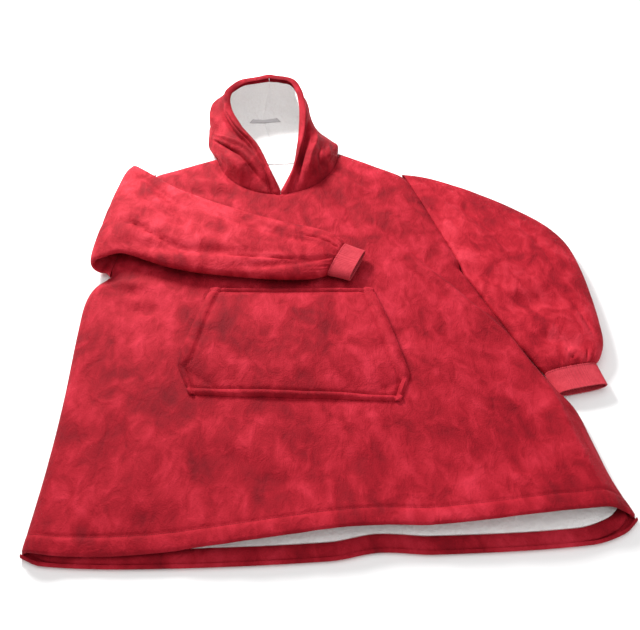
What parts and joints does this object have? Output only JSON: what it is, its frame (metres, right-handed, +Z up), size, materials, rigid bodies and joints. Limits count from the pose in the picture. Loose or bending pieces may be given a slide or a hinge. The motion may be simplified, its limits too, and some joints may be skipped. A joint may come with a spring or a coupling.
{
  "type": "wearable blanket hoodie",
  "caption": "Oversized fleece blanket hoodie with sherpa lining, laid flat, one sleeve folded over the chest, with a hood and a front pocket.",
  "frame": {"origin": "centre of the whole garment's box, on the surface it lies on", "axes": "+Z up from the surface to the front of the garment, +Y from the hem to the hood, +X to the sleeve that lies straight"},
  "size_m": [1.077, 1.3154, 0.1334],
  "materials": {
    "fleece": "crushed flannel fleece",
    "knit": "plain knit",
    "sherpa": "curly sherpa pile",
    "label": "woven satin, bare"
  },
  "bodies": {
    "root": {"front_panel": "fleece", "back_panel": "fleece", "front_hem_facing": "fleece", "back_hem_facing": "fleece", "front_lining": "sherpa", "back_lining": "sherpa", "sleeve_folded": "fleece", "sleeve_laid": "fleece", "cuff_folded": "knit", "cuff_laid": "knit", "hood_left": "fleece", "hood_right": "fleece", "hood_facing_left": "fleece", "hood_facing_right": "fleece", "hood_lining_left": "sherpa", "hood_lining_right": "sherpa", "pocket": "fleece", "neck_label": "label"}
  },
  "joints": []
}
